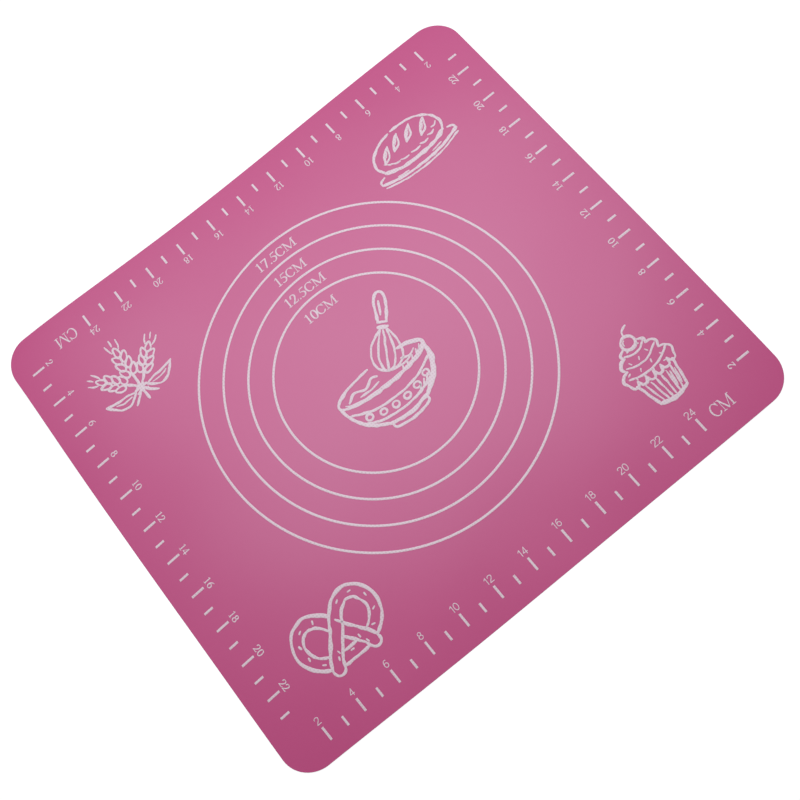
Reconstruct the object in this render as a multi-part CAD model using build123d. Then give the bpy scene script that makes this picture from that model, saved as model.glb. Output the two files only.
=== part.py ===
from build123d import *
import os

# A silicone baking mat: a thin moulded sheet with a white print on its upper face.
# The print holds concentric guide rings for rolling dough to a size, and a centimetre scale along each edge.
# Lengths are in millimetres. The origin is the centre of the underside, +X runs along the front edge,
# +Y runs from the front edge to the back edge, and +Z points up out of the printed face.

# Sheet
sheet_width = 290.0
sheet_depth = 260.0
sheet_thickness = 0.4
corner_radius = 15.0
rim_round = 0.12
rim_round_share = 0.45

# Print
ink_thickness = 0.08

# Guide rings, measured across the middle of their lines
smallest_ring = 100.0
ring_step = 25.0
ring_line = 1.0
ring_count = 4
ring_shift_x = -1.25
ring_shift_y = 0.6
ring_room = 2.0

# Scale marks, whose long ones stand at the even numbers
scale_step = 10.0
first_number = 2
numbers_per_long_mark = 2
mark_line = 1.0
long_mark = 7.0
short_mark = 5.0

# Where each scale lies: its marks start edge_margin in from their own edge, its zero lies zero_shift past
# the edge where the numbers begin, and end_room is kept free of marks at its other end
front_edge_margin = 9.4
front_zero_shift = 2.05
front_end_room = 40.0
right_edge_margin = 8.3
right_zero_shift = 4.95
right_end_room = 22.0
back_edge_margin = 9.3
back_zero_shift = 3.0
back_end_room = 40.0
left_edge_margin = 9.6
left_zero_shift = -1.4
left_end_room = 22.0

quarter_turn = 90.0
print_height = sheet_thickness


def silicone_sheet():
    """A flat sheet with round corners, and a slight round along the rim of both faces."""
    outline = RectangleRounded(sheet_width, sheet_depth, corner_radius)
    sheet = extrude(outline, sheet_thickness)
    rim = sheet.edges().group_by(Axis.Z)[0] + sheet.edges().group_by(Axis.Z)[-1]
    return fillet(rim, min(rim_round, rim_round_share * sheet_thickness))


def ring_diameters():
    """The rings grow by one step at a time. One that would come within ring_room of the marks isn't printed."""
    side_margin = max(left_edge_margin, right_edge_margin)
    end_margin = max(front_edge_margin, back_edge_margin)
    room_x = sheet_width / 2 - abs(ring_shift_x) - side_margin
    room_y = sheet_depth / 2 - abs(ring_shift_y) - end_margin
    largest = 2 * (min(room_x, room_y) - long_mark - ring_room) - ring_line
    diameters = [smallest_ring + ring_step * step for step in range(ring_count)]
    return [diameter for diameter in diameters if diameter <= largest]


def guide_ring(diameter):
    """A flat round line of ink, centred on the print's own centre."""
    line = Circle((diameter + ring_line) / 2) - Circle((diameter - ring_line) / 2)
    return Pos(ring_shift_x, ring_shift_y, print_height) * extrude(line, ink_thickness)


def scale_marks(turns, length, depth, edge_margin, zero_shift, end_room):
    """The long and the short marks of one scale, drawn along the front edge and turned to its own edge."""
    last_number = int((length - zero_shift - end_room) / scale_step)
    long_marks = []
    short_marks = []
    for number in range(first_number, last_number + 1):
        is_long = number % numbers_per_long_mark == 0
        mark = Box(
            mark_line,
            long_mark if is_long else short_mark,
            ink_thickness,
            align=(Align.CENTER, Align.MIN, Align.MIN),
        )
        along = zero_shift + scale_step * number - length / 2
        place = Pos(along, edge_margin - depth / 2, print_height)
        marks = long_marks if is_long else short_marks
        marks.append(Rot(0, 0, quarter_turn * turns) * place * mark)
    return long_marks, short_marks


# The scales in their order round the sheet, each a quarter turn on from the one before
scales = {
    "front": (sheet_width, sheet_depth, front_edge_margin, front_zero_shift, front_end_room),
    "right": (sheet_depth, sheet_width, right_edge_margin, right_zero_shift, right_end_room),
    "back": (sheet_width, sheet_depth, back_edge_margin, back_zero_shift, back_end_room),
    "left": (sheet_depth, sheet_width, left_edge_margin, left_zero_shift, left_end_room),
}

nodes = {"silicone_sheet": silicone_sheet()}
for order, diameter in enumerate(ring_diameters(), start=1):
    nodes[f"guide_ring_{order}"] = guide_ring(diameter)
for turns, (side, scale) in enumerate(scales.items()):
    long_marks, short_marks = scale_marks(turns, *scale)
    nodes[f"{side}_long_marks"] = Compound(children=long_marks)
    nodes[f"{side}_short_marks"] = Compound(children=short_marks)

os.makedirs("parts", exist_ok=True)
for name, shape in nodes.items():
    shape.label = name
    export_step(shape, f"parts/{name}.step")
    print(f"{name}: {len(shape.solids())} solids, {shape.volume:.3f} mm3")
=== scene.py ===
# %% [markdown]
# # A silicone baking mat
#
# The object is one thin sheet of pink silicone rubber with a white print on its upper face: four guide
# rings for rolling dough to a size, a centimetre scale along each edge, and small line pictures. The packed
# CAD model gives the sizes and places of the sheet, the rings and the marks. This lesson lays the sheet down
# the way a soft one lies, carries the print over it, draws the fine print, and gives both materials a finish.

import bpy
import numpy as np
from mathutils import Matrix, Quaternion, Vector


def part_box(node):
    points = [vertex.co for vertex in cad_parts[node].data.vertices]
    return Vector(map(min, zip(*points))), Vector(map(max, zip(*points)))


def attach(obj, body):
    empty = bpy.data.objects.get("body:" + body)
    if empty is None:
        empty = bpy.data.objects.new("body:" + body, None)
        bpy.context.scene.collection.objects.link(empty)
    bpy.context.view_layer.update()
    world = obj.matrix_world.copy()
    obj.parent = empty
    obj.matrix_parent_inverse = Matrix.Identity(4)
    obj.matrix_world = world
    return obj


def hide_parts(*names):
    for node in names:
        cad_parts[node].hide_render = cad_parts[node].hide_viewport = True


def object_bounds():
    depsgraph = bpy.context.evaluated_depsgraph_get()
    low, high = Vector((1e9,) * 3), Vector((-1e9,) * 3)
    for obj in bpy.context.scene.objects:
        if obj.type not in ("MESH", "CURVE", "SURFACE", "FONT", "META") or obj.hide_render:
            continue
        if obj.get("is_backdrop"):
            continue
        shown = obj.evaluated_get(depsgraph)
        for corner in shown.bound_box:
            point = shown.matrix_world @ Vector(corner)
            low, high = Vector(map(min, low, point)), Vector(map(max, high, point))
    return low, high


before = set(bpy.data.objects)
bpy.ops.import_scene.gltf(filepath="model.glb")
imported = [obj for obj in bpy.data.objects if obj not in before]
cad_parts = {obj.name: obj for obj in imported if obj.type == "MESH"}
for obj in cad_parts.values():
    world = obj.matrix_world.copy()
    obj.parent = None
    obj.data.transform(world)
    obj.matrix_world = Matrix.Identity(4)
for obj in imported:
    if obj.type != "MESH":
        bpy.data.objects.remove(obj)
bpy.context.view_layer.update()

# %% [markdown]
# ## Sizes
#
# Blender works in metres, and a mat is easier to think about in millimetres, so lengths here are written in
# millimetres times MM. What the frame knows is read from it. The corner radius and the tiny round of the rim
# can't be read from a box, so they are named again.

# %% Sizes of the sheet and the ink
MM = 0.001
sheet_low, sheet_high = (np.array(corner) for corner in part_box("silicone_sheet"))
half_width, half_depth = (sheet_high - sheet_low)[:2] / 2
sheet_thickness = sheet_high[2] - sheet_low[2]
ink_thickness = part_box("guide_ring_1")[1].z - sheet_high[2]
corner_radius = 15 * MM
rim_round = 0.12 * MM
print("sheet in mm:", np.round([2 * half_width / MM, 2 * half_depth / MM, sheet_thickness / MM], 2))

# %% [markdown]
# ## Camera
#
# The mat is seen from above and a little in front, turned so that its long edges run up to the right. The
# scale marks and the rings have known distances, so a camera could be fitted to them: where it stands, what
# it looks at and which way is up in the picture. Two places, a direction and a lens are easier to read than
# angles.

# %% Camera
camera_place = Vector((-23.23, -143.19, 457.51)) * MM
camera_aim = Vector((-1.16, -18.59, 0.0)) * MM
camera_up = Vector((0.6317, 0.7397, 0.2319))
lens_length = 44.67
sensor_width = 36.0


def new_object(name, data):
    """An object at the origin, linked to the scene."""
    thing = bpy.data.objects.new(name, data)
    bpy.context.scene.collection.objects.link(thing)
    return thing


camera_data = bpy.data.cameras.new("camera")
camera_data.lens = lens_length
camera_data.sensor_width = sensor_width
camera = new_object("camera", camera_data)
backwards = (camera_place - camera_aim).normalized()
rightwards = camera_up.cross(backwards).normalized()
upwards = backwards.cross(rightwards)
turn = Matrix((rightwards, upwards, backwards)).transposed().to_4x4()
camera.matrix_world = Matrix.Translation(camera_place) @ turn
bpy.context.scene.camera = camera
bpy.context.scene.view_settings.view_transform = "Standard"
print("camera to aim point in mm:", round((camera_place - camera_aim).length / MM, 1))

# %% [markdown]
# ## Two helpers for every material
#
# A colour is written as the hex value that a picture editor shows. Blender's sockets want linear light, so
# one function turns it. A second one adds a node, sets what it is told and links what it is given, which
# keeps each material short enough to read.

# %% Colour and node helpers
def colour(code):
    """Linear red, green, blue and alpha of an sRGB hex value: a share above 0.04045 gets 0.055 more, is
    divided by 1.055 and raised to the power 2.4, and a smaller one is divided by 12.92."""
    shares = np.array([int(code[place : place + 2], 16) for place in (1, 3, 5)]) / 255
    linear = np.where(shares > 0.04045, ((shares + 0.055) / 1.055) ** 2.4, shares / 12.92)
    return (*linear, 1.0)


def add_node(tree, kind, inputs=None, **settings):
    """Adds one node. Its settings are named, and its inputs are values to set or sockets to link from."""
    node = tree.nodes.new("ShaderNode" + kind)
    for name, value in settings.items():
        setattr(node, name, value)
    for name, value in (inputs or {}).items():
        if isinstance(value, bpy.types.NodeSocket):
            tree.links.new(value, node.inputs[name])
        else:
            node.inputs[name].default_value = value
    return node


def new_material(name):
    """An empty node material and its tree."""
    material = bpy.data.materials.new(name)
    material.use_nodes = True
    material.node_tree.nodes.clear()
    return material, material.node_tree


print("middle grey in linear light:", np.round(colour("#808080")[:3], 3))

# %% [markdown]
# ## Light and room
#
# A catalogue photograph of a flat thing is lit by one large softbox above and behind it, with white walls
# filling the rest. The softbox mirrors in the satin face of the mat as a broad pale haze. For the camera and
# in gloss the walls are plain white, and what they add to the light is set on its own.

# %% Softbox and room
softbox_place = Vector((74.8, 200.0, 622.9)) * MM
softbox_aim = Vector((0, 0, 0))
softbox_width, softbox_height = 591 * MM, 402 * MM
softbox_turn = np.radians(11.9)
softbox_glow = 6.55
softbox_tint = "#E9F2FF"
room_glow = 0.21

softbox_data = bpy.data.lights.new("softbox", "AREA")
softbox_data.shape = "RECTANGLE"
softbox_data.size, softbox_data.size_y = softbox_width, softbox_height
softbox_data.energy = softbox_glow * np.pi * softbox_width * softbox_height
softbox_data.color = colour(softbox_tint)[:3]
softbox = new_object("softbox", softbox_data)
softbox.location = softbox_place
towards_mat = (softbox_aim - softbox_place).to_track_quat("-Z", "Y")
softbox.rotation_euler = (towards_mat @ Quaternion((0, 0, 1), softbox_turn)).to_euler()
softbox.visible_camera = False


def seen_directly(tree):
    """1 for rays from the camera, from gloss and through glass, and 0 for the rays that light things."""
    path = add_node(tree, "LightPath").outputs
    seen = path["Is Camera Ray"]
    for kind in ("Is Glossy Ray", "Is Transmission Ray"):
        seen = add_node(tree, "Math", {0: seen, 1: path[kind]}, operation="MAXIMUM").outputs[0]
    return seen


world = bpy.data.worlds.new("white_room")
world.use_nodes = True
bpy.context.scene.world = world
tree = world.node_tree
tree.nodes.clear()
strength = add_node(tree, "Mix", {"Factor": seen_directly(tree), "A": room_glow, "B": 1.0})
walls = add_node(tree, "Background", {"Color": (1, 1, 1, 1), "Strength": strength.outputs["Result"]})
add_node(tree, "OutputWorld", {"Surface": walls.outputs["Background"]})
print("softbox power in watts:", round(softbox_data.energy, 2))

# %% [markdown]
# ## White paper floor
#
# The floor takes the light as paper does. For the camera and for mirror rays most of it is a plain white
# glow, so it stays white and still shows the object's shadow. Away from the object all of it glows, so that
# it runs into the white room without an edge, as a paper sweep does. The fibres of paper are a few hundredths
# of a millimetre thick, and its cloudiness, which the eye sees instead, is drawn about a millimetre wide.

# %% Floor of white paper
floor_half = 3.0
floor_gap = 0.05 * MM
floor_glow_share = 0.72
floor_glow = 1.18
sweep_start, sweep_end = 0.35, 1.0
paper_cloud = MM / 0.9
paper_shades = ("#ECECEC", "#F4F4F4")

paper, tree = new_material("white_paper_floor")
cloudiness = add_node(tree, "TexNoise", {"Scale": 1 / paper_cloud, "Detail": 3.0})
shade = add_node(tree, "ValToRGB", {"Fac": cloudiness.outputs["Fac"]})
for stop, code in zip(shade.color_ramp.elements, paper_shades):
    stop.color = colour(code)
lit = add_node(tree, "BsdfDiffuse", {"Color": shade.outputs["Color"]})
glow = add_node(tree, "Emission", {"Color": (1, 1, 1, 1), "Strength": floor_glow})
place = add_node(tree, "TexCoord").outputs["Object"]
distance = add_node(tree, "VectorMath", {0: place}, operation="LENGTH").outputs["Value"]
sweep = add_node(
    tree, "MapRange", {"Value": distance, "From Min": sweep_start, "From Max": sweep_end,
                       "To Min": floor_glow_share, "To Max": 1.0}
)
share = add_node(tree, "Math", {0: seen_directly(tree), 1: sweep.outputs["Result"]}, operation="MULTIPLY")
both = add_node(tree, "MixShader", {"Fac": share.outputs[0], 1: lit.outputs["BSDF"], 2: glow.outputs[0]})
add_node(tree, "OutputMaterial", {"Surface": both.outputs["Shader"]})

corners = [(-1, -1), (1, -1), (1, 1), (-1, 1)]
floor_points = [(floor_half * x, floor_half * y, -floor_gap) for x, y in corners]
floor_mesh = bpy.data.meshes.new("floor")
floor_mesh.from_pydata(floor_points, [], [(0, 1, 2, 3)])
floor_mesh.materials.append(paper)
floor = new_object("floor", floor_mesh)
floor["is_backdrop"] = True
print("floor edge in m:", 2 * floor_half)

# %% [markdown]
# ## How a soft sheet lies
#
# The CAD sheet is flat, as the product is drawn. A real one has been rolled up in its box: it lies flat in
# the middle, one corner curls up by a few millimetres, and the rest keeps a faint wave. Laid down by hand it
# is also stretched a little here and slack there, so the print is up to 1.3 mm off its drawn place. Both are
# functions of the place on the sheet. The sheet and every line of ink ask the same ones and stay together.

# %% The lie of the sheet
corner_curls = {(-1, 1): 4.0 * MM, (1, 1): 0.4 * MM, (-1, -1): 0.2 * MM, (1, -1): 0.2 * MM}
curl_start = np.array([20, 10]) * MM
curl_reach = np.array([125, 120]) * MM
wave_height = 0.12 * MM
wave_length = np.array([94, 78]) * MM
wave_phase = np.array([0.8, 0.3])
stretch_x = np.array([
    [0.01, -0.8, 0.03, 2.18, 0.39, -1.82, -0.48],
    [0.45, 0.47, -1.5, -2.27, -0.16, 1.08, 0],
    [-0.47, 0.26, 0.58, 0.04, 0.39, 0, 0],
    [-0.84, -0.08, 0.41, 1.53, 0, 0, 0],
    [0.39, -0.63, -0.7, 0, 0, 0, 0],
    [0.68, -0.36, 0, 0, 0, 0, 0],
    [-0.08, 0, 0, 0, 0, 0, 0],
]) * MM
stretch_y = np.array([
    [0.1, 0.45, -1.49, -1.09, 1.16, 0.58, 0.02],
    [0.15, 0.67, 0.56, 1.73, -0.46, -1.62, 0],
    [1.91, 1.16, 0.47, -0.62, -1.19, 0, 0],
    [-1.2, -0.9, -0.3, 1, 0, 0, 0],
    [-2.67, -0.29, 1.17, 0, 0, 0, 0],
    [1.5, -0.21, 0, 0, 0, 0, 0],
    [0.11, 0, 0, 0, 0, 0, 0],
]) * MM


def smooth_step(share):
    """0 up to 0, 1 from 1 on, and between them three times the square less twice the cube."""
    share = np.clip(share, 0, 1)
    return share * share * (3 - 2 * share)


def lie(place):
    """Height of the sheet's underside over the table at x and y. Each corner gives its curl times a smooth
    step outwards along x times one along y. A wave is added, half its height times one plus the product of a
    sine along x and one along y, so that it never goes below the table."""
    x, y = place[..., 0], place[..., 1]
    height = np.zeros(x.shape)
    for (side_x, side_y), curl in corner_curls.items():
        step_x = smooth_step((side_x * x - curl_start[0]) / curl_reach[0])
        step_y = smooth_step((side_y * y - curl_start[1]) / curl_reach[1])
        height += curl * step_x * step_y
    waves = np.sin(2 * np.pi * place / wave_length + wave_phase)
    return height + wave_height / 2 * (1 + waves[..., 0] * waves[..., 1])


def on_table(place, level):
    """Points in space for places on the flat sheet, at a level above its underside. Each place moves along x
    and along y by a polynomial of the sixth degree in its shares of the half width and the half depth, whose
    tables hold the factor of each power of x in a row and of y in a column. The lie of the sheet lifts it."""
    share_x, share_y = place[..., 0] / half_width, place[..., 1] / half_depth
    shift = [np.polynomial.polynomial.polyval2d(share_x, share_y, table) for table in (stretch_x, stretch_y)]
    laid = place + np.stack(shift, -1)
    return np.concatenate([laid, (lie(laid) + level)[..., None]], -1)


test_places = np.array([[-half_width, half_depth], [0.0, 0.0], [half_width, half_depth]])
print("back left, middle and back right lie at, in mm:", np.round(on_table(test_places, 0) / MM, 2).tolist())

# %% [markdown]
# ## A skin round a row of rings
#
# The sheet and every printed line are the same kind of surface: rings of points in a row, joined to their
# neighbours, with both ends closed or with the row closed on itself. One function gives the faces for all of
# them, and another puts points and faces into a piece that rides on the frame.

# %% Faces and pieces
def skin_faces(rows, around, looped, first=0):
    """Faces over a grid of rows times around points, counted from first. The grid closes round each row. A
    looped grid joins its last row to its first. An open one gets two more points, after the grid's own, that
    close its ends with fans."""
    row, column = np.meshgrid(np.arange(rows if looped else rows - 1), np.arange(around), indexing="ij")
    following, beside = (row + 1) % rows, (column + 1) % around
    sides = (row * around + column, following * around + column)
    sides += (following * around + beside, row * around + beside)
    quads = first + np.stack(sides, -1).reshape(-1, 4)
    if looped:
        return quads.tolist()
    edge = np.arange(around)
    over = (edge + 1) % around
    last_row = (rows - 1) * around
    start = np.stack([np.full(around, rows * around), edge, over], -1)
    end = np.stack([np.full(around, rows * around + 1), last_row + over, last_row + edge], -1)
    return quads.tolist() + (first + start).tolist() + (first + end).tolist()


def new_piece(name, points, faces, material, replaced=()):
    """A smooth mesh piece at the origin that rides on the frame and stands for the CAD nodes it replaces."""
    mesh = bpy.data.meshes.new(name)
    mesh.from_pydata(np.round(points, 9).tolist(), [], faces)
    mesh.polygons.foreach_set("use_smooth", np.ones(len(faces), bool))
    mesh.materials.append(material)
    piece = new_object(name, mesh)
    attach(piece, "root")
    if replaced:
        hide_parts(*replaced)
    print(f"{name}: {len(points)} points, {len(faces)} faces")
    return piece


# %% [markdown]
# ## Matte silicone rubber
#
# Platinum-cured silicone is calendered and cured against a satin plate. It is coloured all through, so
# nothing wears off at the edges. Its refractive index of 1.41 is low, and the satin plate gives it a broad
# soft shine instead of a sharp one. Handling leaves faint cloudy places, a little lighter and rougher. The
# grain of the plate is near 0.1 mm, too fine to show, and is drawn about 0.9 mm wide. The underside was cured
# against a smoother belt and is a little glossier, which an attribute of the mesh tells the material.

# %% Matte silicone
silicone, tree = new_material("matte_calendered_silicone")
silicone_pink = "#B54070"
silicone_pink_cloud = "#BB4676"
silicone_ior = 1.41
cloud_size = 70 * MM
grain_size = 0.9 * MM
grain_height = 0.006 * MM
cloud_low, cloud_high = 0.3, 0.7
roughness_satin = (0.327, 0.362)
roughness_underside = (0.27, 0.31)

place = add_node(tree, "TexCoord").outputs["Object"]
clouds, grain = (
    add_node(tree, "TexNoise", {"Vector": place, "Scale": 1 / size, "Detail": detail}).outputs["Fac"]
    for size, detail in [(cloud_size, 3.0), (grain_size, 2.0)]
)
pink, pale_pink = colour(silicone_pink), colour(silicone_pink_cloud)
pinks = add_node(tree, "Mix", {"Factor": clouds, 6: pink, 7: pale_pink}, data_type="RGBA")
satin, smoother = (
    add_node(
        tree, "MapRange", {"Value": clouds, "From Min": cloud_low, "From Max": cloud_high,
                           "To Min": least, "To Max": most}
    ).outputs["Result"]
    for least, most in (roughness_satin, roughness_underside)
)
upper_face = add_node(tree, "Attribute", attribute_name="upper_face").outputs["Fac"]
roughness = add_node(tree, "Mix", {"Factor": upper_face, "A": smoother, "B": satin})
relief = add_node(tree, "Bump", {"Height": grain, "Distance": grain_height, "Strength": 1.0})
rubber = add_node(tree, "BsdfPrincipled", {
    "Base Color": pinks.outputs[2],
    "Roughness": roughness.outputs["Result"],
    "IOR": silicone_ior,
    "Normal": relief.outputs["Normal"],
})
add_node(tree, "OutputMaterial", {"Surface": rubber.outputs["BSDF"]})
print("silicone nodes:", len(tree.nodes))

# %% [markdown]
# ## The sheet
#
# A sheet with round corners could be a plane with a bevel and a Solidify modifier, but its rim would be
# square and its faces long slivers. Here the whole skin is one surface of two parameters. One goes round the
# outline. The other starts in the middle of the upper face, runs out to the rim, over its two tiny rounds,
# and back to the middle of the underside. A soft sheet is never cut quite straight, nor does it lie quite
# square, so its edges bow in and out by up to 2.5 mm, as measured against the print.

# %% The outline and the skin of the sheet
corner_steps = 14
run_steps = {"long": 60, "short": 52}
face_rows = 46
rim_steps = 4
rim_support = 0.25 * MM
edge_axes = {"front": (1, -1), "right": (0, 1), "back": (1, 1), "left": (0, -1)}
offset_stations = np.linspace(-1, 1, 5)
edge_offsets = {
    "front": np.array([-2.54, -0.55, -0.28, -0.26, -0.98]) * MM,
    "right": np.array([-0.85, -0.54, -0.21, 0.21, 0.39]) * MM,
    "back": np.array([0.78, 0.25, -0.48, -0.53, -1.48]) * MM,
    "left": np.array([1.26, 0.05, -0.17, -0.89, -1.49]) * MM,
}


def outline_stations():
    """Centres and directions of the points round the sheet: on a corner the centre stays and the direction
    turns a quarter, and on a straight run the direction stays and the centre moves on."""
    centres, directions = [], []
    signs = [(1, -1), (1, 1), (-1, 1), (-1, -1)]
    middles = np.array(signs) * [half_width - corner_radius, half_depth - corner_radius]
    for number, middle in enumerate(middles):
        angles = np.pi / 2 * (number - 1 + np.linspace(0, 1, corner_steps + 1))
        centres.append(np.repeat(middle[None], corner_steps + 1, 0))
        directions.append(np.stack([np.cos(angles), np.sin(angles)], -1))
        run = run_steps["short" if number % 2 == 0 else "long"]
        share = np.linspace(0, 1, run + 1)[1:-1, None]
        following = middles[(number + 1) % len(middles)]
        centres.append(middle + share * (following - middle))
        directions.append(np.repeat(directions[-1][-1:], run - 1, 0))
    return np.concatenate(centres), np.concatenate(directions)


def sheet_rows():
    """Share of the way out, inset from the outline and height of every row, from the middle of the upper
    face over the rim to the middle of the underside."""
    out = np.linspace(0, 1, face_rows + 1)[1:]
    arc = np.linspace(0, np.pi / 2, rim_steps + 1)
    support = np.full(face_rows, rim_round + rim_support)
    top = np.stack([out, support, np.full(face_rows, sheet_thickness)], -1)
    inset = rim_round * (1 - np.sin(arc))
    upper = np.stack([np.ones(arc.size), inset, sheet_thickness - rim_round * (1 - np.cos(arc))], -1)
    lower = upper[::-1] * [1, 1, -1] + [0, 0, sheet_thickness]
    bottom = top[::-1] * [1, 1, 0]
    return np.concatenate([top, upper, lower, bottom])


def as_cut(place):
    """The places moved to the real outline. Along each edge a smooth curve, a polynomial of the fourth degree
    through the named offsets, says how far the edge lies outside the straight line. A point moves by it times
    the square of its share of the way from the middle to that edge."""
    share = place / [half_width, half_depth]
    result = place.copy()
    for side, (axis, sign) in edge_axes.items():
        curve = np.polynomial.Polynomial.fit(offset_stations, edge_offsets[side], offset_stations.size - 1)
        result[..., axis] += sign * curve(share[..., 1 - axis]) * np.clip(sign * share[..., axis], 0, 1) ** 2
    return result


centres, directions = outline_stations()
out, inset, height = sheet_rows().T
flat = as_cut(out[:, None, None] * (centres + (corner_radius - inset)[:, None, None] * directions))
rows, around = flat.shape[:2]
middle = on_table(np.zeros((2, 2)), np.array([sheet_thickness, 0]))
points = np.concatenate([on_table(flat, height[:, None]).reshape(-1, 3), middle])

sheet = new_piece(
    "draped_silicone_sheet", points, skin_faces(rows, around, False), silicone, ["silicone_sheet"]
)
face_marks = sheet.data.attributes.new("upper_face", "FLOAT", "POINT")
face_marks.data.foreach_set("value", np.append(np.repeat(height / sheet_thickness, around), [1.0, 0.0]))

# %% [markdown]
# ## Screen-printed ink
#
# The print is white silicone ink, pushed through a mesh screen and cured, because nothing else sticks to
# silicone. It lies as a thin raised layer with soft shoulders and lets a little pink through. The mesh leaves
# a regular unevenness: its threads are about 0.1 mm apart, too fine to show, and are drawn 1.3 mm apart.

# %% White silicone ink
ink, tree = new_material("screen_printed_white_silicone_ink")
ink_white = "#DAC3C5"
ink_thin = "#BC9399"
ink_ior = 1.41
mesh_pitch = 1.3 * MM
coverage_size = 14 * MM
mesh_height = 0.01 * MM
mesh_bump_share = 0.6
roughness_ink = 0.46

place = add_node(tree, "TexCoord").outputs["Object"]
cover_noise = add_node(tree, "TexNoise", {"Vector": place, "Scale": 1 / coverage_size, "Detail": 4.0})
cover = cover_noise.outputs["Fac"]
threads_x, threads_y = (
    add_node(
        tree,
        "TexWave",
        {"Vector": place, "Scale": np.pi / 10 / mesh_pitch, "Distortion": 1.5, "Detail": 1.0},
        bands_direction=direction,
    ).outputs["Fac"]
    for direction in ("X", "Y")
)
weave = add_node(tree, "Math", {0: threads_x, 1: threads_y}, operation="MULTIPLY").outputs[0]
thinness = add_node(tree, "Math", {0: weave, 1: cover}, operation="MULTIPLY").outputs[0]
whites = add_node(
    tree, "Mix", {"Factor": thinness, 6: colour(ink_white), 7: colour(ink_thin)}, data_type="RGBA"
)
relief = add_node(tree, "Bump", {"Height": weave, "Distance": mesh_height, "Strength": mesh_bump_share})
layer = add_node(tree, "BsdfPrincipled", {
    "Base Color": whites.outputs[2],
    "Roughness": roughness_ink,
    "IOR": ink_ior,
    "Normal": relief.outputs["Normal"],
})
add_node(tree, "OutputMaterial", {"Surface": layer.outputs["BSDF"]})
print("ink nodes:", len(tree.nodes))

# %% [markdown]
# ## A printed line
#
# Everything in the print is a line of some width: a ring, a mark, a figure's stroke, a picture's outline.
# So one function prints them all. It carries a flat section with soft shoulders along a path, lays it on the
# sheet, and sinks its foot a hair into the rubber so that no gap shows. Lines that cross are given heights
# that differ by a hair, so that neither flickers through the other.

# %% Printing a line on the sheet
across_shares = np.array([-1.0, -0.9, -0.7, 0.7, 0.9, 1.0])
height_shares = np.array([0.0, 0.75, 1.0, 1.0, 0.75, 0.0])
ink_foot = 0.01 * MM
ink_step = 0.0012 * MM
ink_levels = 7
round_end_angles = np.radians([28, 55, 78])
loop_gap = 1e-7


def with_width(path, width):
    """A stroke: the path's x and y and the width, which is one number or one for each point."""
    return np.column_stack([path, np.broadcast_to(width, len(path))])


def is_loop(stroke):
    """Whether a stroke or a path ends where it starts."""
    return np.allclose(stroke[0, :2], stroke[-1, :2], atol=loop_gap)


def directions_along(path):
    """Unit directions along a path: the difference of each point's neighbours, brought to length one. A
    loop's first and last point are one, and its neighbours are those on either side."""
    if is_loop(path):
        step = np.roll(path[:-1], -1, 0) - np.roll(path[:-1], 1, 0)
        step = np.concatenate([step, step[:1]])
    else:
        step = np.gradient(path, axis=0)
    return step / np.linalg.norm(step, axis=1, keepdims=True)


def left_of(along):
    """Unit directions turned a quarter to the left: minus y, and then x."""
    return np.stack([-along[:, 1], along[:, 0]], -1)


def printed_line(stroke, square, raised):
    """Points of one line and how many rows they make. A point is the path's, plus the section's share across
    times half the width along the path's left normal, at the sheet's own height plus the section's share of
    the ink's thickness. A round end goes on past the last point while the width shrinks as a circle does."""
    path, half = stroke[:, :2], stroke[:, 2] / 2
    along = directions_along(path)
    looped = is_loop(path)
    if looped:
        path, half, along = path[:-1], half[:-1], along[:-1]
    elif not square:
        ahead, narrow = np.sin(round_end_angles)[:, None], np.cos(round_end_angles)
        head = path[0] - half[0] * ahead[::-1] * along[0]
        tail = path[-1] + half[-1] * ahead * along[-1]
        path = np.concatenate([head, path, tail])
        half = np.concatenate([half[0] * narrow[::-1], half, half[-1] * narrow])
        along = np.concatenate([along[:1].repeat(ahead.size, 0), along, along[-1:].repeat(ahead.size, 0)])
    flat = path[:, None] + (half[:, None] * across_shares)[..., None] * left_of(along)[:, None]
    level = np.where(height_shares > 0, height_shares * (ink_thickness + raised), -ink_foot)
    rows = on_table(flat, sheet_thickness + level)
    points = rows.reshape(-1, 3)
    if looped:
        return points, len(rows)
    return np.concatenate([points, rows[[0, -1]].mean(1)]), len(rows)


def print_piece(name, strokes, replaced=(), square=False):
    """One piece of ink made of many lines. Each is a hair higher or lower than the one before it, in turns of
    ink_levels steps about the ink's own height."""
    points, faces, count = [], [], 0
    for number, stroke in enumerate(strokes):
        raised = ink_step * (number % ink_levels - ink_levels // 2)
        line, rows = printed_line(stroke, square, raised)
        faces += skin_faces(rows, across_shares.size, is_loop(stroke), count)
        points.append(line)
        count += len(line)
    return new_piece(name, np.concatenate(points), faces, ink, replaced)


print("rows that round each end:", round_end_angles.size)

# %% [markdown]
# ## Guide rings
#
# The rings are printed lines that close on themselves. Their size, place and line width come from the frame:
# a ring's box is as wide as its outer edge, and the CAD lines are 1 mm wide. Wet ink spreads a little before
# it is cured, so the printed lines are a quarter wider.

# %% Four guide rings
ring_line = 1.0 * MM
ring_spread = 1.24
ring_steps = 300
ring_nodes = sorted(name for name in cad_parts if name.startswith("guide_ring"))
rings = []
for name in ring_nodes:
    low, high = (np.array(corner)[:2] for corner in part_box(name))
    middle, radius = (low + high) / 2, (high - low)[0] / 2 - ring_line / 2
    angles = np.linspace(0, 2 * np.pi, ring_steps + 1)[:, None]
    circle = middle + radius * np.concatenate([np.cos(angles), np.sin(angles)], 1)
    stroke = with_width(circle, ring_spread * ring_line)
    print_piece(name.replace("guide", "printed"), [stroke], [name])
    rings.append((middle, radius))
print("ring diameters in mm:", [round(2 * radius / MM, 1) for _, radius in rings])

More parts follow.
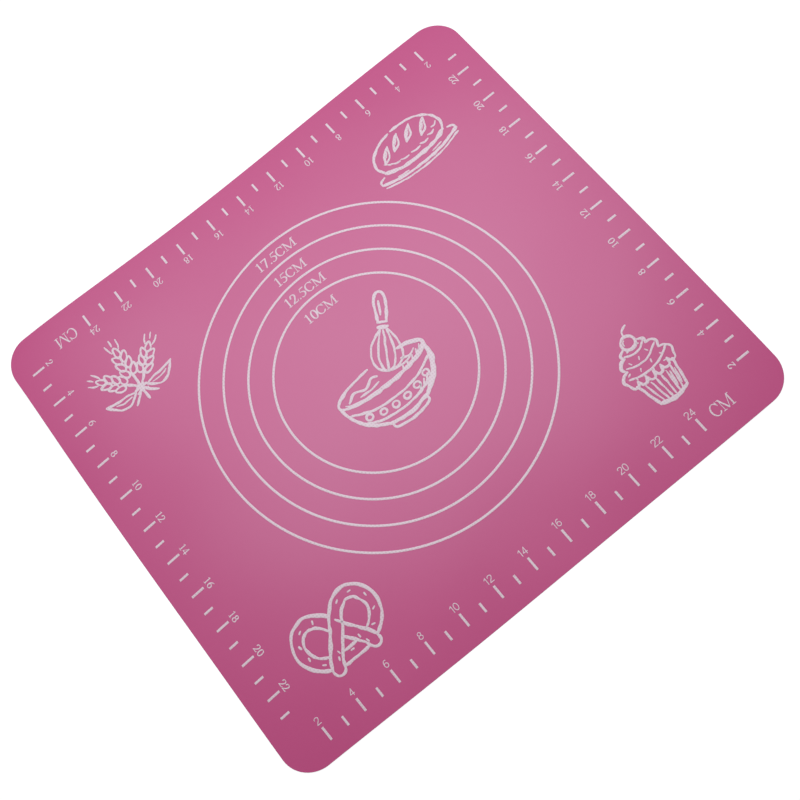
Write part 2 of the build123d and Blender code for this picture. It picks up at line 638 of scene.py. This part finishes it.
# %% [markdown]
# ## Scale marks
#
# Each scale is the front one turned to its own edge, so it is worked out along the front edge and then
# turned. A box of long or short marks says where the first and the last one stand and how long they are, and
# the marks between them are two steps of the scale apart. Their ink has spread as the rings' has.

# %% Turning, moving and the four scales
scale_step = 10 * MM
first_number = 2
numbers_per_long_mark = 2
mark_line = 1.0 * MM
mark_shoulder = 0.1 * MM
mark_spread = 1.22
scale_turns = {"front": 0, "right": 90, "back": 180, "left": 270}


def moved(strokes, place=(0, 0), turn=0, size=1.0, widths=1.0):
    """The strokes scaled, turned about the origin and then moved. Widths are scaled by their own number."""
    angle = np.radians(turn)
    turning = np.array([[np.cos(angle), np.sin(angle)], [-np.sin(angle), np.cos(angle)]])
    return [with_width(size * stroke[:, :2] @ turning + place, widths * stroke[:, 2]) for stroke in strokes]


def marks_at_front(node, turn):
    """Where the marks of a node stand along the edge, and where they begin and end across it, once its box is
    turned round to the front."""
    corners = np.array([list(corner)[:2] + [0.0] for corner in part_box(node)])
    corners = moved([corners], turn=-turn)[0][:, :2]
    low, high = corners.min(0), corners.max(0)
    first, last = low[0] + mark_line / 2, high[0] - mark_line / 2
    count = int(round((last - first) / (numbers_per_long_mark * scale_step))) + 1
    return np.linspace(first, last, count), low[1], high[1]


scales = {}
for side, turn in scale_turns.items():
    strokes = []
    nodes = [f"{side}_long_marks", f"{side}_short_marks"]
    for node in nodes:
        stands, low, high = marks_at_front(node, turn)
        stops = [low, low + mark_shoulder, high - mark_shoulder, high]
        for stand in stands:
            strokes.append(with_width([(stand, stop) for stop in stops], mark_spread * mark_line))
    scales[side] = marks_at_front(nodes[0], turn)
    print_piece(f"{side}_scale_marks", moved(strokes, turn=turn), nodes, square=True)
print("long marks:", {side: scale[0].size for side, scale in scales.items()})

# %% [markdown]
# ## Pen strokes
#
# Figures and pictures are drawn with two kinds of stroke: a smooth line through a few points, and a stretch
# of an ellipse. Both are cut into equal steps, so that the mesh is even and the width can follow the pen.

# %% Smooth lines and ovals
bend_steps = 16
oval_steps = 96


def lengths_along(path):
    """Distance of every point from the first one along the path: the sum of the steps up to it."""
    return np.append(0, np.cumsum(np.linalg.norm(np.diff(path, axis=0), axis=1)))


def even_steps(path, step):
    """The path cut into equal steps: its points are read at even distances along its length."""
    length = lengths_along(path)
    at = np.linspace(0, length[-1], max(3, int(np.ceil(length[-1] / step)) + 1))
    return np.stack([np.interp(at, length, path[:, 0]), np.interp(at, length, path[:, 1])], -1)


def through(knots, step):
    """A smooth path through knots: between two of them it is the cubic that leaves and arrives along the
    lines that join their neighbours. Two knots give a straight line."""
    knots = np.array(knots, float)
    if len(knots) == 2:
        return even_steps(knots, step)
    knots = np.concatenate([[2 * knots[0] - knots[1]], knots, [2 * knots[-1] - knots[-2]]])
    before, start, end, after = (knots[place : place + len(knots) - 3, None] for place in range(4))
    t = np.linspace(0, 1, bend_steps, endpoint=False)[:, None]
    bends = (2 * start + (end - before) * t + (2 * before - 5 * start + 4 * end - after) * t**2) / 2
    bends = bends + (3 * start - before - 3 * end + after) * t**3 / 2
    return even_steps(np.concatenate([bends.reshape(-1, 2), knots[-2:-1]]), step)


def oval(middle, radii, step, start=0, stop=360):
    """A stretch of an ellipse between two angles: the middle plus each radius times cosine and sine."""
    angles = np.radians(np.linspace(start, stop, oval_steps + 1))[:, None]
    path = np.array(middle) + np.array(radii) * np.concatenate([np.cos(angles), np.sin(angles)], 1)
    path = even_steps(path, step)
    if stop - start == 360:
        path[-1] = path[0]
    return path


def traced(knots, step):
    """The path of a line in a table, given by the word oval, a middle, radii and angles, or by its knots."""
    if knots[0] == "oval":
        return oval(knots[1], knots[2], step, *knots[3:])
    return through(knots, step)


print("points of a round path at a tenth of its radius:", len(traced(["oval", (0, 0), (1, 1)], 0.1)))

# %% [markdown]
# ## Figures
#
# The front scale has plain figures drawn with one pen width. The other three scales and the ring labels have
# book figures, whose upright parts are thick and whose flat parts are hairlines, as a broad nib gives. Fonts
# differ from one computer to the next, so the figures are tables of strokes here. All places are shares of
# the figure's height. A stroke is a pen, and then an oval's middle and radii, with a start and a stop angle
# where the oval is open, or the points of a line. A figure is its advance and its strokes.

# %% Tables of figures
plain_figure_shares = {
    "0": (0.64, [("pen", "oval", (0.28, 0.50), (0.25, 0.48))]),
    "1": (0.50, [("pen", (0.08, 0.78), (0.28, 0.97)), ("pen", (0.28, 0.97), (0.28, 0.02))]),
    "2": (
        0.64,
        [
            ("pen", (0.04, 0.74), (0.08, 0.90), (0.27, 0.98), (0.47, 0.90), (0.51, 0.72), (0.40, 0.50),
             (0.20, 0.27), (0.05, 0.03)),
            ("pen", (0.05, 0.03), (0.53, 0.03)),
        ],
    ),
    "4": (0.64, [("pen", (0.40, 0.02), (0.40, 0.97)), ("pen", (0.40, 0.97), (0.03, 0.28)),
                 ("pen", (0.03, 0.28), (0.55, 0.28))]),
    "6": (0.64, [("pen", (0.45, 0.93), (0.27, 0.95), (0.10, 0.72), (0.05, 0.33)),
                 ("pen", "oval", (0.28, 0.31), (0.23, 0.29))]),
    "8": (0.64, [("pen", "oval", (0.28, 0.74), (0.19, 0.23)),
                 ("pen", "oval", (0.28, 0.27), (0.24, 0.26))]),
}

book_figure_shares = {
    "0": (0.74, [("nib", "oval", (0.37, 0.50), (0.27, 0.48))]),
    "1": (0.74, [("hair", (0.17, 0.86), (0.36, 0.97)), ("stem", (0.38, 0.95), (0.38, 0.03)),
                 ("hair", (0.18, 0.02), (0.58, 0.02))]),
    "2": (
        0.74,
        [
            ("nib", (0.08, 0.73), (0.16, 0.92), (0.34, 0.98), (0.53, 0.88), (0.56, 0.70), (0.45, 0.46),
             (0.25, 0.22), (0.06, 0.04)),
            ("bold", (0.06, 0.045), (0.60, 0.045)),
            ("hair", (0.60, 0.05), (0.66, 0.20)),
        ],
    ),
    "4": (0.74, [("stem", (0.46, 0.97), (0.46, 0.03)), ("hair", (0.46, 0.98), (0.04, 0.30)),
                 ("bold", (0.04, 0.27), (0.68, 0.27))]),
    "5": (0.74, [("bold", (0.22, 0.93), (0.62, 0.95)), ("hair", (0.22, 0.93), (0.12, 0.58)),
                 ("nib", (0.12, 0.58), (0.32, 0.57), (0.52, 0.44), (0.55, 0.28), (0.42, 0.08),
                  (0.22, 0.01), (0.06, 0.07))]),
    "6": (0.74, [("nib", (0.60, 0.97), (0.36, 0.86), (0.16, 0.60), (0.10, 0.34)),
                 ("nib", "oval", (0.36, 0.30), (0.25, 0.29))]),
    "7": (0.74, [("bold", (0.06, 0.93), (0.64, 0.93)), ("hair", (0.06, 0.93), (0.10, 0.76)),
                 ("stem", (0.62, 0.92), (0.28, 0.02))]),
    "8": (0.74, [("nib", "oval", (0.36, 0.75), (0.20, 0.22)),
                 ("nib", "oval", (0.36, 0.27), (0.26, 0.26))]),
    ".": (0.37, [("stem", (0.15, 0.06), (0.17, 0.06))]),
    "C": (0.98, [("nib", "oval", (0.47, 0.49), (0.42, 0.47), 40, 320),
                 ("hair", (0.82, 0.97), (0.84, 0.66))]),
    "M": (1.34, [("hair", (0.15, 0.93), (0.15, 0.03)), ("stem", (0.16, 0.91), (0.62, 0.06)),
                 ("hair", (0.64, 0.04), (1.10, 0.92)), ("stem", (1.14, 0.92), (1.14, 0.04)),
                 ("hair", (0.00, 0.03), (0.30, 0.03)), ("hair", (0.95, 0.03), (1.33, 0.03)),
                 ("hair", (0.00, 0.94), (0.18, 0.94)), ("hair", (1.12, 0.94), (1.33, 0.94))]),
}
print("figures:", "".join(plain_figure_shares), "and", "".join(book_figure_shares))

# %% Writing with the tables
pen_shares = {"pen": (0.115, 0.115), "nib": (0.055, 0.135), "hair": (0.055, 0.055), "stem": (0.125, 0.125),
              "bold": (0.085, 0.085)}
figure_step_share = 0.055


def written(text, figures, height, squeeze=1.0, ink_gain=1.0):
    """Strokes of a line of figures, centred on the origin and standing on it. A stroke's width goes from
    its pen's thin to its thick share of the height with the upright part of its direction."""
    strokes, pen_at, far = [], 0.0, 0.0
    for figure in text:
        advance, parts = figures[figure]
        for pen, *knots in parts:
            path = traced(knots, figure_step_share)
            thin, thick = pen_shares[pen]
            upright = np.abs(directions_along(path)[:, 1])
            path = (path + [pen_at, 0]) * [squeeze, 1]
            strokes.append(height * with_width(path, ink_gain * (thin + (thick - thin) * upright)))
            far = max(far, path[:, 0].max())
        pen_at += advance
    near = min(stroke[:, 0].min() for stroke in strokes)
    return moved(strokes, (-(near + far * height) / 2, 0))


print("strokes in one label:", len(written("17.5CM", book_figure_shares, 1.0)))

# %% [markdown]
# ## Numbers along the scales
#
# Every long mark has its number just inside it, read from its own edge. From 20 on the numbers stand a
# little to the left of their marks. A style is the figures, their gap from the mark, their height, how many
# times wider they are drawn, and how many times the pen's width the ink has run to. The unit stands at the
# end of the front and of the back scale, and is larger. It has a place along the turned scale and a height.

# %% Scale numbers and units
figure_styles = {
    "front": (plain_figure_shares, 1.7 * MM, 3.5 * MM, 1.18, 1.05),
    "right": (book_figure_shares, 1.7 * MM, 3.4 * MM, 1.03, 1.45),
    "back": (book_figure_shares, 1.8 * MM, 3.55 * MM, 0.95, 1.2),
    "left": (book_figure_shares, 1.65 * MM, 3.45 * MM, 1.01, 1.35),
}
first_shifted_number = 20
number_shift = -0.42 * MM
for side, (figures, gap, height, squeeze, gain) in figure_styles.items():
    stands, _, inner_end = scales[side]
    strokes = []
    for order, stand in enumerate(stands):
        number = first_number + numbers_per_long_mark * order
        figure = written(str(number), figures, height, squeeze, gain)
        shift = number_shift if number >= first_shifted_number else 0
        strokes += moved(figure, (stand + shift, inner_end + gap))
    print_piece(f"{side}_scale_numbers", moved(strokes, turn=scale_turns[side]))

unit_squeeze = 0.81
unit_places = {
    "front": np.array([110.45, -119.2, 6.4]) * MM,
    "back": np.array([111.25, -119.5, 6.2]) * MM,
}
for side, (*place, height) in unit_places.items():
    unit = moved(written("CM", book_figure_shares, height, unit_squeeze), place)
    print_piece(f"{side}_scale_unit", moved(unit, turn=scale_turns[side]))

# %% [markdown]
# ## Ring labels
#
# Each ring carries its diameter in centimetres, upright and just inside its line at the back.

# %% Ring labels
label_height = 5.05 * MM
label_squeeze = 0.98
label_gain = 1.3
label_shift = -0.75 * MM
label_drops = np.array([10.2, 9.35, 9.3, 9.3]) * MM
for number, ((middle, radius), drop) in enumerate(zip(rings, label_drops), start=1):
    text = f"{round(2 * radius / scale_step, 1):g}CM"
    strokes = written(text, book_figure_shares, label_height, label_squeeze, label_gain)
    strokes = moved(strokes, (middle[0] + label_shift, middle[1] + radius - drop))
    print_piece(f"ring_label_{number}", strokes)
    print("label", text)

# %% [markdown]
# ## Line pictures
#
# Five small pictures stand in the corners and in the middle: things that go with baking, drawn as with a
# brush pen. Each is a table of lines in millimetres about its own middle, and what repeats in it comes from a
# short formula. A brush never keeps its width nor its line, so both wander a little, and its ends thin out.

# %% Brush-pen lines
picture_step = 0.4
wander_steps = 13
wander_width_share = 0.42
wander_aside = 0.28
brush_gain = 1.12
thin_end_share = 0.72
thin_end_length = 1.6
loop_blend_share = 0.2


def drawn(*lines):
    """Strokes in millimetres. A line is its width and then what its path is traced from."""
    return [with_width(traced(knots, picture_step), width) for width, *knots in lines]


def with_mirror(strokes):
    """The strokes and their mirror images on the other side of the y axis."""
    return strokes + [stroke * [-1, 1, 1] for stroke in strokes]


def fleck(place, half, width, turn):
    """A short straight stroke about its place: a grain of salt or of sugar."""
    return moved(drawn((width, (-half, 0), (half, 0))), place, turn)


def wander(randoms, count, looped):
    """Smooth noise along a stroke: seeded random numbers, averaged under a hump. On a loop its last part is
    blended back to its first value, so that the ends meet."""
    hump = np.hanning(wander_steps + 2)
    noise = np.convolve(randoms.normal(size=count + 2 * wander_steps), hump / hump.sum(), "same")
    noise = noise[wander_steps:-wander_steps]
    if looped:
        back = np.clip(1 - (1 - np.linspace(0, 1, count)) / loop_blend_share, 0, 1)
        noise = noise * (1 - back) + noise[0] * back
    return noise


def brushed(strokes, seed):
    """The strokes with a width that is scaled by one noise, a path that is moved along its left normal by a
    second one, and thinner ends."""
    randoms = np.random.default_rng(seed)
    result = []
    for stroke in strokes:
        path, width = stroke[:, :2], stroke[:, 2]
        looped = is_loop(path)
        length = lengths_along(path)
        near_end = smooth_step(np.minimum(length, length[-1] - length) / thin_end_length)
        thin = 1 if looped else thin_end_share + (1 - thin_end_share) * near_end
        width = brush_gain * width * thin * (1 + wander_width_share * wander(randoms, len(path), looped))
        aside = wander_aside * wander(randoms, len(path), looped)
        result.append(with_width(path + aside[:, None] * left_of(directions_along(path)), width))
    return result


print("hump in mm:", wander_steps * picture_step)

# %% [markdown]
# ## Ears of wheat
#
# One ear is a stalk with pairs of grains, each pair a step higher and a little closer in, and three awns.
# Three ears and two leaves are tied into a bunch.

# %% Wheat
grain_steps = 48
grain_taper = 0.3


def grain(place, turn, length=7.4, breadth=3.9, width=1.05):
    """A pointed oval: half its length times the cosine of an angle, and half its breadth times the sine,
    drawn in towards one end by a share of the cosine."""
    angle = np.linspace(0, 2 * np.pi, grain_steps + 1)
    shape = [length / 2 * np.cos(angle), breadth / 2 * np.sin(angle) * (1 - grain_taper * np.cos(angle))]
    path = even_steps(np.stack(shape, -1), picture_step)
    path[-1] = path[0]
    return moved([with_width(path, width)], place, turn)


def ear(pairs=3, foot=12.5, step=5.2):
    """An ear on its stalk, standing on the origin."""
    strokes = drawn((1.5, (0, 0), (0.5, 6), (0, 11.5)))
    for pair in range(pairs):
        strokes += with_mirror(grain((3.3 - 0.35 * pair, foot + 1.2 + step * pair), 60))
    top = foot + step * pairs
    strokes += grain((0, top + 0.8), 90, 7.0, 3.6) + drawn((0.9, (0, top + 6.4), (0, top + 10.6)))
    return strokes + with_mirror(drawn((0.9, (2.6, top + 2.2), (3.7, top + 5.2), (4.2, top + 8.8))))


wheat = []
for turn, size in [(44, 0.80), (0, 0.86), (-44, 0.80)]:
    wheat += moved(ear(), (0, -12.5), turn, size)
wheat += drawn(
    (1.5, (0.1, -13), (0.3, -20.4)),
    (1.9, (-3.6, -12.6), (0, -11.8), (3.6, -12.6)),
    (1.7, (-3.2, -14.9), (0, -14.2), (3.2, -14.9)),
)
wheat += with_mirror(drawn(
    (1.5, (0.4, -12.8), (3.0, -16.2), (7.2, -19.6)),
    (1.2, (3.9, -13.6), (9.5, -17.4), (15.5, -16.4), (21.5, -10.0)),
    (1.2, (3.9, -13.2), (9.0, -11.8), (15.0, -11.6), (21.5, -10.0)),
    (0.8, (7.0, -14.0), (12.0, -14.4), (16.4, -12.8)),
))
print("wheat strokes:", len(wheat))

# %% [markdown]
# ## Loaf on a board
#
# The crust is two long lines with a heavier one under them. Its four cuts are lens shapes that follow the
# crust's arch, so their height drops with the square of the distance from the middle. The short dashes below
# them tilt more towards the sides.

# %% Loaf
loaf = drawn(
    (1.5, (-21, -7.6), (-23.4, -2), (-20.6, 4.8), (-12.5, 9.6), (-5.0, 11.2)),
    (1.5, (-2.6, 11.5), (6, 11.4), (13, 9.6), (20.4, 4.8), (23.2, -2), (21, -8.0)),
    (2.2, (-21, -7.6), (-12, -10.9), (0, -11.8), (12, -11.1), (21, -8.0)),
    (1.6, (-27.4, -12.6), (-14, -15.9), (0, -16.9), (14, -15.9), (27.4, -12.6)),
    (1.1, (-26.6, -15.0), (-14, -18.2), (0, -19.2), (14, -18.2), (26.6, -15.0)),
    (0.9, (-17, -14.0), (-10, -15.0)),
    (0.9, (8, -14.9), (15, -13.8)),
)
loaf += with_mirror(drawn((1.5, (27.4, -12.6), (27.0, -10.2), (23.6, -9.0))))
crust_arch = 0.017
for x in (-13.8, -4.6, 4.6, 13.4):
    drop = crust_arch * x * x
    start, stop = (x - 4.0, 0.2 - drop), (x + 3.4, 8.4 - drop)
    loaf += drawn(
        (1.5, start, (x - 0.9, 5.2 - drop), stop),
        (1.1, start, (x + 0.7, 2.6 - drop), stop),
        (0.8, (x - 0.9, 3.2 - drop), (x + 1.2, 5.6 - drop)),
    )
for x, y, length in [(-18.6, -2.6, 4.2), (-15.2, -5.0, 5.0), (-9.4, -6.6, 5.4), (-1.6, -7.0, 6.0),
                     (5.6, -6.6, 5.2), (12.2, -5.2, 4.6), (17.0, -2.6, 4.0)]:
    bend = x * abs(x)
    halfway, end = (x + length / 2, y - 0.9 + 0.0028 * bend), (x + length, y - 0.5 + 0.006 * bend)
    loaf += drawn((1.0, (x, y), halfway, end))
print("loaf strokes:", len(loaf))

# %% [markdown]
# ## Pretzel
#
# A pretzel is one rope laid over itself. Its middle line runs through a few knots and their mirror images.
# Its two edges lie half a rope to the sides, and an edge is left out where a part of the rope that lies
# higher covers it. How high a part lies is its distance along the rope from the middle, a bit more on one
# side. Coarse salt lies along the rope, but not where its ends cross.

# %% Pretzel
rope_half = 2.9
rope_clearance = 0.5
level_gap = 0.12
level_lead = 0.1
shortest_run = 6
salt_count = 19
salt_half, salt_width = 0.65, 1.05
bare_half_width, bare_bottom = 3.4, -4
salt_seed = 4
rope_knots = [(0, -13.2), (9, -12.2), (17, -7.4), (20.2, 0.5), (17.2, 8.0), (10.6, 10.4), (4.4, 6.8),
              (0, 0.6), (-4.4, -5.8), (-8.6, -11.2), (-10.4, -15.2)]
middle_line = through([(-x, y) for x, y in rope_knots[:0:-1]] + rope_knots, picture_step)
share_along = np.linspace(-1, 1, len(middle_line))
aside = left_of(directions_along(middle_line))
level = np.abs(share_along) + level_lead * (share_along > 0)
pretzel = []
for side, width in [(-1, 1.5), (1, 1.3)]:
    edge = middle_line + side * rope_half * aside
    apart = np.linalg.norm(edge[:, None] - middle_line, axis=-1)
    hidden = np.any((level > level[:, None] + level_gap) & (apart < rope_half + rope_clearance), axis=1)
    cuts = np.flatnonzero(np.diff(hidden)) + 1
    for run, gone in zip(np.split(edge, cuts), np.split(hidden, cuts)):
        if not gone[0] and len(run) > shortest_run:
            pretzel.append(with_width(run, width))
for end, side in [(0, 1), (-1, -1)]:
    first = np.degrees(np.arctan2(side * aside[end, 1], side * aside[end, 0]))
    pretzel += drawn((1.4, "oval", middle_line[end], (rope_half, rope_half), first, first + 180))
salt = np.random.default_rng(salt_seed)
for share in np.linspace(0.05, 0.95, salt_count):
    stand = int(share * len(middle_line))
    place = middle_line[stand] + salt.uniform(-1, 1) * aside[stand]
    if abs(place[0]) > bare_half_width or place[1] < bare_bottom:
        pretzel += fleck(place, salt_half, salt_width, salt.uniform(0, 180))
print("pretzel strokes:", len(pretzel))

# %% [markdown]
# ## Cupcake
#
# A pleated paper case carries three waves of cream with sprinkles, and a cherry. The pleats lean towards the
# narrow foot, and the cream's lower edge is a frill of equal arcs.

# %% Cupcake
cupcake = with_mirror(drawn((1.5, (12.2, -4.6), (8.8, -19.4))))
cupcake += drawn((2.1, (-8.8, -19.4), (0, -21.2), (8.8, -19.4)))
for x in np.linspace(-8.2, 8.2, 6):
    arch = np.cos(x / 8)
    cupcake += drawn((1.1, (1.03 * x, -6.6 - arch), (0.74 * x, -18.8 - 1.3 * arch)))
cupcake += drawn((0.9, (6.3, -9.0), (5.0, -17.0)), (0.9, (9.3, -9.0), (7.4, -17.0)))
frill = np.linspace(-15, 15, 7)
for start, stop in zip(frill[:-1], frill[1:]):
    middle_x = (start + stop) / 2
    low_y = -6.5 + 0.011 * middle_x**2
    cupcake += drawn((1.4, (start, -3.4 + 0.008 * start**2), (middle_x - 1.4, low_y), (middle_x + 1.4, low_y),
                      (stop, -3.4 + 0.008 * stop**2)))
cupcake += drawn(
    (1.5, (-15, -1.8), (-16.2, 1.0), (-14.0, 3.8), (-10.8, 4.6)),
    (1.6, (15, -1.8), (16.2, 1.2), (14.0, 4.0), (11.0, 4.8)),
    (1.1, (-12.8, 0.6), (-4.6, -1.8), (5.6, -1.0), (14.6, 3.2)),
    (1.5, (-11.0, 4.8), (-12.2, 7.6), (-10.0, 10.2), (-7.2, 10.8)),
    (1.6, (11.0, 5.0), (12.4, 8.0), (10.2, 10.4), (7.4, 11.0)),
    (1.1, (-10.0, 6.0), (-3.4, 3.8), (4.0, 4.4), (10.8, 8.2)),
    (1.5, (-7.4, 11.0), (-7.8, 13.4), (-4.8, 15.0)),
    (1.6, (7.6, 11.2), (7.9, 13.6), (4.8, 15.2)),
    (1.1, (-6.4, 11.8), (-1.4, 9.8), (3.0, 10.4), (7.0, 12.8)),
    (1.6, "oval", (0, 16.4), (4.0, 3.8)),
    (0.9, "oval", (-0.6, 16.8), (2.0, 2.0), 100, 190),
    (1.1, (0.4, 20.0), (1.6, 23.2), (5.4, 24.8)),
)
sprinkle_seed = 6
sprinkles = np.random.default_rng(sprinkle_seed)
for place in [(-9.5, -1.2), (-4.5, 0.9), (0.6, -3.4), (3.0, 1.6), (8.6, -2.6), (9.4, 1.2), (-6.6, 7.0),
              (-1.2, 6.6), (4.8, 7.6), (-11.2, 2.6), (-3.2, 12.8), (3.6, 13.4)]:
    cupcake += fleck(place, half=0.75, width=0.95, turn=sprinkles.uniform(0, 180))
print("cupcake strokes:", len(cupcake))

# %% [markdown]
# ## Bowl with a whisk
#
# The bowl is an oval brim over a round belly with a band of beads. The whisk is drawn upright with its round
# end at the origin, then leant over and set down in the batter. The brim is open where the whisk crosses it.

# %% Bowl and whisk
bowl = drawn(
    (1.5, "oval", (0, -4), (27, 6.6), 98, 260),
    (1.9, "oval", (0, -4), (27, 6.6), 262, 416),
    (0.9, "oval", (0, -4.8), (24.0, 4.9), 188, 352),
    (1.6, (-27, -4.8), (-25.6, -13), (-20.5, -21), (-12, -27)),
    (2.4, (27, -4.8), (25.6, -13), (20.5, -21), (12, -27)),
    (1.8, (-12, -27), (0, -29.0), (12, -27)),
    (1.4, (-11.2, -27.8), (-9.8, -30.6), (0, -32.0), (9.8, -30.6), (11.2, -27.8)),
    (1.2, (-25.4, -11.2), (-14, -16.2), (0, -17.8), (14, -16.2), (25.4, -11.2)),
    (1.2, (-21.6, -19.2), (-12.4, -23.4), (0, -24.8), (12.4, -23.4), (21.6, -19.2)),
    (1.3, (-21.4, -5.6), (-16.4, -2.6), (-10.4, -4.8), (-5.6, -2.4), (-2.0, -3.2)),
    (0.9, (-15.0, -6.4), (-9.0, -7.0), (-3.0, -6.2)),
    (1.3, (13.4, -3.8), (17.4, -5.4), (21.4, -3.8)),
    (0.9, (8.8, -6.6), (13.6, -6.8), (17.8, -6.0)),
)
for x in np.linspace(-18, 18, 6):
    bowl += drawn((1.1, "oval", (x, -21.2 + 0.0105 * x * x), (1.8, 1.6)))
for x in (10.2, 13.6, 17.0, 20.4, 23.2):
    bowl += drawn((0.95, (x, -11.2 + 0.008 * x * x), (x + 1.6, -8.4 + 0.008 * x * x)))
for x in (12.0, 15.2, 18.2):
    bowl += drawn((0.95, (x - 2.4, -26.0 + 0.012 * x * x), (x + 0.2, -22.6 + 0.012 * x * x)))

whisk = drawn(
    (1.05, (0, 22), (0, 0.2)),
    (2.0, (-2.4, 23.8), (2.4, 23.8)),
    (1.4, (-2.5, 26.4), (2.5, 26.4)),
    (1.5, (-2.2, 27.2), (-2.8, 32), (-3.2, 38), (-1.9, 42), (0, 43),
     (1.9, 42), (3.2, 38), (2.8, 32), (2.2, 27.2)),
    (1.1, (-0.5, 30.5), (-0.6, 38.0)),
)
for wide in (8.2, 4.3):
    whisk += with_mirror(drawn((1.15, (1.5, 23), (0.78 * wide, 16), (wide, 8.5), (0.66 * wide, 2.2), (0, 0))))
bowl += moved(whisk, (4.5, -5.2), -31)
print("bowl and whisk strokes:", len(bowl))

# %% [markdown]
# ## The pictures on the mat
#
# Each picture is brushed with a seed of its own, scaled to its room, and set upright at its place.

# %% Print the pictures
pictures = {
    "wheat_picture": (wheat, (-95.5, 81.5), 0.92),
    "loaf_picture": (loaf, (86.0, 84.0), 0.88),
    "pretzel_picture": (pretzel, (-90.5, -83.5), 1.0),
    "cupcake_picture": (cupcake, (98.0, -81.5), 0.88),
    "bowl_picture": (bowl, (-0.5, 0.8), 0.95),
}
for seed, (name, (strokes, place, size)) in enumerate(pictures.items(), start=1):
    strokes = moved(brushed(strokes, seed), place, size=size, widths=size)
    print_piece(name, [stroke * MM for stroke in strokes])

# %% The sheet's cut size
low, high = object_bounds()
print("visual box in mm:", np.round(np.array([low, high]) / MM, 2).tolist())
